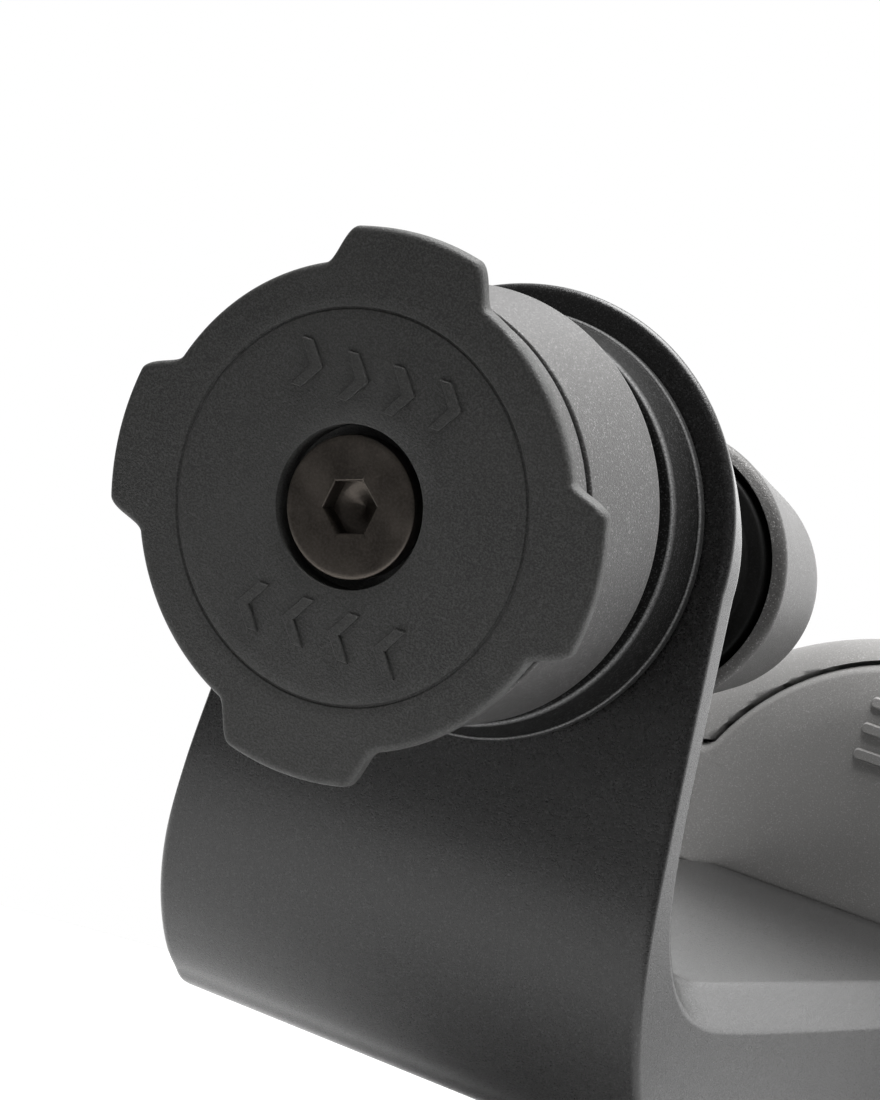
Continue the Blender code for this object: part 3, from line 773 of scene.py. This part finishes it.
def make_screw():
    """Lofted from the shank's end, over the head, down the hexagon socket to its drilled point."""
    top = SCREW_FRONT
    seat = RECESS_DEPTH
    rings = [(0.01, SCREW_BACK), (SHANK_RADIUS - 0.3, SCREW_BACK), (SHANK_RADIUS, SCREW_BACK - 0.4)]
    rings += [(SHANK_RADIUS, seat), (SCREW_RADIUS - 0.26, seat), (SCREW_RADIUS - 0.04, seat - 0.1)]
    rings.append((SCREW_RADIUS, seat - 0.3))
    for inset, drop in ((0.0, 0.18), (0.02, 0.09), (0.08, 0.03), (0.16, 0.0), (0.36, 0.0), (2.16, 0.0)):
        rings.append((SCREW_RADIUS - inset, top + drop))
    loops = [ring_at(circle(radius, SCREW_STEPS), along) for radius, along in rings]
    for wider, along in ((0.11, top), (0.05, top + 0.03), (0.005, top + 0.12), (0.0, KEY_DEPTH)):
        loops.append(ring_at(hexagon(KEY_RADIUS + wider, SOCKET_TURN, SCREW_STEPS), along))
    for radius, deeper in ((1.50, 0.02), (1.30, 0.06), (0.65, 0.45), (0.02, 0.8)):
        loops.append(ring_at(circle(radius, SCREW_STEPS), KEY_DEPTH + deeper))
    points, faces = stacked(loops)
    piece("face_screw", points, faces, OXIDE, "head", "oxide", ["head_screw"], tilted, 28.0)


def make_collar():
    """The fixed band behind the disc, the sliding sleeve behind it and the spring's washer."""
    back = COLLAR_FRONT - COLLAR_GAP
    band = [(BAND_BORE, BAND_FRONT, 0), (BAND_RADIUS - 0.3, BAND_FRONT, 0.2)]
    band.append((BAND_RADIUS, BAND_FRONT + 0.25, 0.3))
    band += [(BAND_RADIUS, back - 0.04, 0.14), (BAND_RADIUS - 0.2, back, 0), (BAND_BORE, back, 0)]
    lathe("collar_band", fillet(band, 4), BLASTED, "head", "satin", ["front_ring"], tilted, 192)
    front = COLLAR_FRONT
    sleeve = [(COLLAR_LIP_BORE, front, 0), (COLLAR_RADIUS - 0.25, front, 0)]
    sleeve.append((COLLAR_RADIUS, front + 0.1, 0.14))
    sleeve += [(COLLAR_RADIUS, COLLAR_BACK, 1.5), (COLLAR_BORE + 0.05, COLLAR_BACK, 0.25)]
    sleeve += [(COLLAR_BORE, COLLAR_STEP, 0.2), (COLLAR_LIP_BORE, COLLAR_STEP, 0)]
    lathe("collar_sleeve", fillet(sleeve, 8), BLASTED, "collar", "satin", ["lock_collar"], tilted, 192)
    front = STOP_FRONT
    back = STOP_FRONT + STOP_THICK
    stop = [(STOP_BORE, front, 0), (STOP_RADIUS, front, 0.2), (STOP_RADIUS, back, 0.2), (STOP_BORE, back, 0)]
    lathe("spring_stop", fillet(stop, 4), STEEL, "head", "steel", ["spring_seat"], tilted, 96)


def ball_arc(radius, start, end, steps):
    made = []
    for i in range(steps + 1):
        angle = math.radians(start + (end - start) * i / steps)
        made.append((radius * math.sin(angle), SWIVEL_DEPTH + radius * math.cos(angle)))
    return made


def make_swivel():
    """The ball shell, the seat ring that it turns in and the sleeve behind the arm."""
    shell = ball_arc(BALL_RADIUS, 126.0, 33.0, 30) + ball_arc(BALL_INNER, 40.0, 112.0, 16)
    shell += [(BALL_INNER, along) for along in BALL_MOUTH]
    lathe("ball_shell", shell, BLASTED, "ball", "satin", ["swivel_hub"], tilted, 128)
    seat = [(SEAT_MOUTH, SEAT_FRONT, 0), (SEAT_RADIUS, SEAT_FRONT, 0.45)]
    seat.append((SEAT_BASE - 0.22, SEAT_BASE_Y - 0.14, 0.06))
    seat += [(SEAT_BASE, SEAT_BASE_Y, 0.10), (SEAT_BASE, SEAT_BACK, 0.12), (SEAT_BORE, SEAT_BACK, 0)]
    seat = fillet(seat, 6) + ball_arc(BALL_RADIUS + 0.3, 35.0, 52.0, 8)
    lathe("seat_ring", seat, SEAT_BLACK, "seat", "coated", ["swivel_seat"], upright, 192)
    sleeve = [(SLEEVE_BORE, SLEEVE_FRONT, 0), (SLEEVE_RADIUS, SLEEVE_FRONT, 0.3)]
    sleeve += [(SLEEVE_RADIUS, SLEEVE_BACK, 0.4), (SLEEVE_BORE, SLEEVE_BACK, 0)]
    lathe("spacer_sleeve", fillet(sleeve, 4), BLASTED, "base", "satin", ["stud_sleeve"], upright, 96)


def make_knob():
    lathe("neck_ring", fillet(NECK, 5), DULL, "washers", "rubber", ["neck_washer"], upright, 128)
    body = [(radius, KNOB_FRONT + behind, rounding) for radius, behind, rounding in KNOB_SIDE + KNOB_BACK]
    lathe("knob_shell", fillet(body, 8), KNOB_BLASTED, "knob", "satin", ["clamp_knob"], upright, 160)
    plug = [(radius, KNOB_FRONT + behind, rounding) for radius, behind, rounding in PLUG]
    lathe("knob_cap", fillet(plug, 4), MOULDED, "knob", "moulded", ["knob_plug"], upright, 96)


# Arm


def spline(a, b, c, d, t):
    """Catmull-Rom between b and c."""
    square = 2 * a - 5 * b + 4 * c - d
    cube = 3 * b - a - 3 * c + d
    return 0.5 * (2 * b + (c - a) * t + square * t * t + cube * t ** 3)


def arm_rows():
    """Rows down the arm: the round top by angle, then the straight part by its two faces."""
    rows = [("round", math.radians(90.0 * i / 40)) for i in range(41)]
    for k in range(len(ARM_ROWS) - 1):
        before = ARM_ROWS[max(k - 1, 0)]
        after = ARM_ROWS[min(k + 2, len(ARM_ROWS) - 1)]
        for i in range(12):
            t = (i + 1) / 12
            row = tuple(spline(before[c], ARM_ROWS[k][c], ARM_ROWS[k + 1][c], after[c], t) for c in range(5))
            rows.append(("straight", row))
    return rows


def arm_point(row, inset, depth):
    """A point so far in from the side and so deep, counted back from the inner face when negative."""
    if row[0] == "round":
        along = depth if depth >= 0 else PLATE_THICK + depth
        fade = min(max((math.cos(row[1]) - DRAFT_LOW) / (DRAFT_HIGH - DRAFT_LOW), 0.0), 1.0)
        reach = PLATE_RADIUS - inset - PLATE_DRAFT * blend(fade) * max(along - DRAFT_START, 0.0)
        return (reach * math.sin(row[1]), PLATE_FRONT + along, reach * math.cos(row[1]))
    outer_y, outer_z, inner_y, inner_z, half = row[1]
    through = Vector((0.0, inner_y - outer_y, inner_z - outer_z))
    along = depth if depth >= 0 else through.length + depth
    return tuple(Vector((half - inset, outer_y, outer_z)) + through.normalized() * along)


def arm_edge():
    """(inset, depth) from the outer face, round the side, to the inner face."""
    edge = [(0.60, 0.0), (0.36, 0.03), (0.19, 0.11), (0.07, 0.24), (0.01, 0.42), (0.0, 0.62)]
    edge += [(0.0, -2.95), (0.03, -2.72), (0.16, -2.45), (0.4, -2.2)]
    edge += [(2.2, -0.4), (2.45, -0.16), (2.72, -0.03)]
    return edge + [(3.0, -1e-6)]


def make_arm():
    rows = arm_rows()
    edge = arm_edge()
    points = []
    right = []
    left = []
    for index, row in enumerate(rows):
        made = [arm_point(row, inset, depth) for inset, depth in edge]
        right.append(list(range(len(points), len(points) + len(edge))))
        points += made
        if index == 0:
            left.append(right[0])
            continue
        left.append(list(range(len(points), len(points) + len(edge))))
        points += [(-x, y, z) for x, y, z in made]
    faces = []
    for k in range(len(rows) - 1):
        for c in range(len(edge) - 1):
            near = (right[k][c], right[k + 1][c], right[k + 1][c + 1], right[k][c + 1])
            far = (left[k][c + 1], left[k + 1][c + 1], left[k + 1][c], left[k][c])
            faces.append(tuple(dict.fromkeys(near)))
            faces.append(tuple(dict.fromkeys(far)))
        for c in (0, len(edge) - 1):
            faces.append(tuple(dict.fromkeys((right[k][c], left[k][c], left[k + 1][c], right[k + 1][c]))))
    faces.append(tuple(right[-1] + left[-1][::-1]))
    piece("bent_arm", points, faces, COATED, "base", "coated", ["arm_bracket"], upright, 35.0)


# Suction base


def dome_depth(distance):
    """How far the base's rounded front has fallen back, this far from its axis."""
    share = (distance - DOME_START) / (HOUSING_RADIUS - DOME_START)
    return DOME_DEPTH * (1.0 - math.sqrt(1.0 - min(max(share, 0.0), 1.0) ** 2))


def on_dome(x, z, depth):
    return (x, HOUSING_FRONT + dome_depth(math.hypot(x, z - BASE_Z)) + depth, z)


def lever_outline(grow, steps=48):
    dome = LEVER_DOME + grow
    waist = LEVER_WAIST + grow
    low = LEVER_LOW - grow
    shoulder = LEVER_SHOULDER + grow
    start = LEVER_ARC_START
    corners = [(-waist, low, 0.8), (waist, low, 0.8), (waist, shoulder, 1.6)]
    corners.append((dome * math.cos(start) + 0.9, shoulder, 0.8))
    for i in range(steps + 1):
        angle = start + (math.pi - 2 * start) * i / steps
        corners.append((dome * math.cos(angle), LEVER_CENTRE + dome * math.sin(angle), 0.0))
    corners += [(-dome * math.cos(start) - 0.9, shoulder, 0.8), (-waist, shoulder, 1.6)]
    return closed_fillet(corners, 6)


def make_housing():
    front = HOUSING_FRONT
    back = HOUSING_BACK
    deck = front + HOUSING_DECK
    clamp = front + CLAMP_DEPTH
    profile = [(BOLT_BORE, front)]
    for i in range(DOME_STEPS + 1):
        share = math.sin(math.radians(90.0 * i / DOME_STEPS))
        radius = DOME_START + (HOUSING_RADIUS - DOME_START) * share
        profile.append((radius, front + dome_depth(radius)))
    rear = [(HOUSING_RADIUS, front + 7.0, 0), (HOUSING_RADIUS, back, 0.6), (HOUSING_INNER + 0.3, back, 0.2)]
    rear += [(HOUSING_INNER, deck, 0.3), (CLAMP_RADIUS, deck, 0)]
    rear += [(CLAMP_RADIUS, clamp, 0), (BOLT_BORE, clamp, 0)]
    points, faces = turned(profile + fillet(rear, 6), 192, (0.0, BASE_Z))
    housing = piece(
        "base_shell", points, faces, PALE_BLASTED, "base", "satin", ["base_housing"], upright, 35.0
    )
    outline = lever_outline(LEVER_GAP)
    loops = [[(x, along, z) for x, z in outline] for along in (front - 2.0, front + POCKET_DEPTH)]
    cut(housing, "pocket_cutter", *stacked(loops))
    hinge_y = (HINGE.y - ZERO.y) / MM
    hinge_z = (HINGE.z - ZERO.z) / MM
    reach = LEVER_WAIST + LEVER_GAP
    points, faces = turned([(0.0, -reach), (SWEEP_RADIUS, -reach), (SWEEP_RADIUS, reach), (0.0, reach)], 64)
    cut(housing, "sweep_cutter", [(y, hinge_y + x, hinge_z + z) for x, y, z in points], faces)


def cut(target, name, points, faces):
    mesh = bpy.data.meshes.new(name)
    mesh.from_pydata([upright(point) for point in points], [], faces)
    shape = bmesh.new()
    shape.from_mesh(mesh)
    bmesh.ops.recalc_face_normals(shape, faces=shape.faces)
    shape.to_mesh(mesh)
    shape.free()
    tool = bpy.data.objects.new(name, mesh)
    bpy.context.scene.collection.objects.link(tool)
    modifier = target.modifiers.new(name, "BOOLEAN")
    modifier.operation = "DIFFERENCE"
    modifier.solver = "EXACT"
    modifier.object = tool
    bpy.context.view_layer.update()
    graph = bpy.context.evaluated_depsgraph_get()
    result = bpy.data.meshes.new_from_object(target.evaluated_get(graph))
    target.modifiers.clear()
    target.data = result
    result.shade_smooth()
    result.set_sharp_from_angle(angle=math.radians(30))
    bpy.data.objects.remove(tool)


def make_lever():
    front = HOUSING_FRONT
    middle = Vector((0.0, LEVER_FOCUS))
    loops = []
    for share in (0.02, 0.2, 0.4, 0.6, 0.75, 0.87):
        inner = [middle + (Vector(point) - middle) * share for point in lever_outline(-LEVER_ROUND)]
        loops.append([on_dome(x, z, 0.0) for x, z in inner])
    for inset, depth in ((0.95, 0.0), (0.6, 0.05), (0.3, 0.2), (0.1, 0.45), (0.0, 0.8)):
        loops.append([on_dome(x, z, depth) for x, z in lever_outline(-inset)])
    loops.append([(x, front + LEVER_BACK, z) for x, z in lever_outline(0.0)])
    points, faces = stacked(loops)
    lever = piece(
        "flip_lever", points, faces, PALE_BLASTED, "lever", "satin", ["suction_lever"], upright, 30.0
    )
    gap = ((-CAM_GAP, front + 0.9), (CAM_GAP, front + 0.9), (CAM_GAP, front + 9.0), (-CAM_GAP, front + 9.0))
    cut(lever, "cam_cutter", *stacked([[(x, y, z) for x, y in gap] for z in (LEVER_LOW - 1.0, -18.4)]))
    flatten_shading(lever)
    for index in range(3):
        height = BAR_TOP - BAR_PITCH * index
        sides = ((-BAR_REACH, -0.5), (BAR_REACH, -0.5), (BAR_REACH, 0.5), (-BAR_REACH, 0.5))
        bar = closed_fillet([(x, z, 0.45) for x, z in sides], 5)
        loops = []
        for grow, depth in ((0.06, 0.1), (0.0, -0.2), (-0.12, -0.4)):
            spread = [(x * (1 + grow / 5), height + z * (1 + grow * 2)) for x, z in bar]
            loops.append([on_dome(x, z, depth) for x, z in spread])
        piece(f"grip_bar_{index + 1}", *stacked(loops), PALE_BLASTED, "lever", "satin", (), upright, 25.0)


def make_cup():
    middle = (0.0, BASE_Z)
    lathe("cup_skirt", fillet(CUP, 6), RUBBER, "base", "rubber", ["suction_cup"], upright, 192, middle)
    lathe("gel_disc", fillet(PAD, 5), GEL, "base", "gel", ["gel_pad"], upright, 192, middle)


# Stage


def make_stage():
    low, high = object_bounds()
    depth = Vector(low).z - FLOOR_GAP
    mesh = bpy.data.meshes.new("floor")
    middle = (Vector(low) + Vector(high)) / 2
    rim = [(middle.x + x, middle.y + y, depth) for x, y in circle(FLOOR_REACH, 96)]
    mesh.from_pydata(rim, [], [tuple(range(len(rim)))])
    floor = bpy.data.objects.new("floor", mesh)
    bpy.context.scene.collection.objects.link(floor)
    pale = bpy.data.materials.new("pale_floor")
    pale.use_nodes = True
    shader = pale.node_tree.nodes["Principled BSDF"]
    shader.inputs["Base Color"].default_value = FLOOR_COLOUR
    shader.inputs["Roughness"].default_value = 0.9
    mesh.materials.append(pale)


def make_light(name, place, size, power, aim=SWIVEL):
    data = bpy.data.lights.new(name, "AREA")
    data.shape = "RECTANGLE"
    data.size = size[0]
    data.size_y = size[1]
    data.energy = power
    made = bpy.data.objects.new(name, data)
    made.location = aim + Vector(place)
    made.rotation_euler = (-Vector(place)).to_track_quat("-Z", "Y").to_euler()
    bpy.context.scene.collection.objects.link(made)


def make_lights():
    """A white room to look into, brighter behind the object than before it, and soft boxes above."""
    world = bpy.data.worlds.new("studio")
    world.use_nodes = True
    tree = world.node_tree
    direction = tree.nodes.new("ShaderNodeSeparateXYZ")
    tree.links.new(tree.nodes.new("ShaderNodeTexCoord").outputs["Generated"], direction.inputs["Vector"])
    glow = tree.nodes.new("ShaderNodeMapRange")
    glow.interpolation_type = "SMOOTHSTEP"
    glow.inputs["From Min"].default_value = WORLD_DARK[0]
    glow.inputs["From Max"].default_value = WORLD_DARK[1]
    glow.inputs["To Min"].default_value = FRONT_GLOW
    glow.inputs["To Max"].default_value = BACK_GLOW
    tree.links.new(direction.outputs["Y"], glow.inputs["Value"])
    above = tree.nodes.new("ShaderNodeMapRange")
    above.inputs["From Min"].default_value = WORLD_LOW[0]
    above.inputs["From Max"].default_value = WORLD_LOW[1]
    above.inputs["To Min"].default_value = LOW_SHARE
    above.inputs["To Max"].default_value = 1.0
    tree.links.new(direction.outputs["Z"], above.inputs["Value"])
    shaded = tree.nodes.new("ShaderNodeMath")
    shaded.operation = "MULTIPLY"
    tree.links.new(glow.outputs["Result"], shaded.inputs[0])
    tree.links.new(above.outputs["Result"], shaded.inputs[1])
    seen = tree.nodes.new("ShaderNodeMix")
    seen.inputs[3].default_value = 1.0
    tree.links.new(tree.nodes.new("ShaderNodeLightPath").outputs["Is Camera Ray"], seen.inputs[0])
    tree.links.new(shaded.outputs["Value"], seen.inputs[2])
    tree.nodes["Background"].inputs["Color"].default_value = (1.0, 1.0, 1.0, 1.0)
    tree.links.new(seen.outputs[0], tree.nodes["Background"].inputs["Strength"])
    bpy.context.scene.world = world
    for name, place, size, power in LIGHTS:
        make_light(name, place, size, power)


def make_camera():
    data = bpy.data.cameras.new("camera")
    data.lens = CAMERA_LENS
    data.sensor_width = 36.0
    data.clip_start = 0.01
    data.clip_end = 20.0
    camera = bpy.data.objects.new("camera", data)
    aim = upright(CAMERA_AIM)
    flat = math.cos(CAMERA_RISE)
    away = Vector((math.sin(CAMERA_TURN) * flat, -math.cos(CAMERA_TURN) * flat, math.sin(CAMERA_RISE)))
    look = (-away).to_track_quat("-Z", "Y")
    camera.rotation_mode = "QUATERNION"
    camera.rotation_quaternion = look @ Matrix.Rotation(CAMERA_ROLL, 3, "Z").to_quaternion()
    camera.location = aim + away * CAMERA_DISTANCE
    bpy.context.scene.collection.objects.link(camera)
    bpy.context.scene.camera = camera


make_camera()
dress_nodes()
make_head()
make_screw()
make_collar()
make_swivel()
make_knob()
make_arm()
make_housing()
make_lever()
make_cup()
make_stage()
make_lights()
bpy.context.scene.view_settings.view_transform = "Standard"
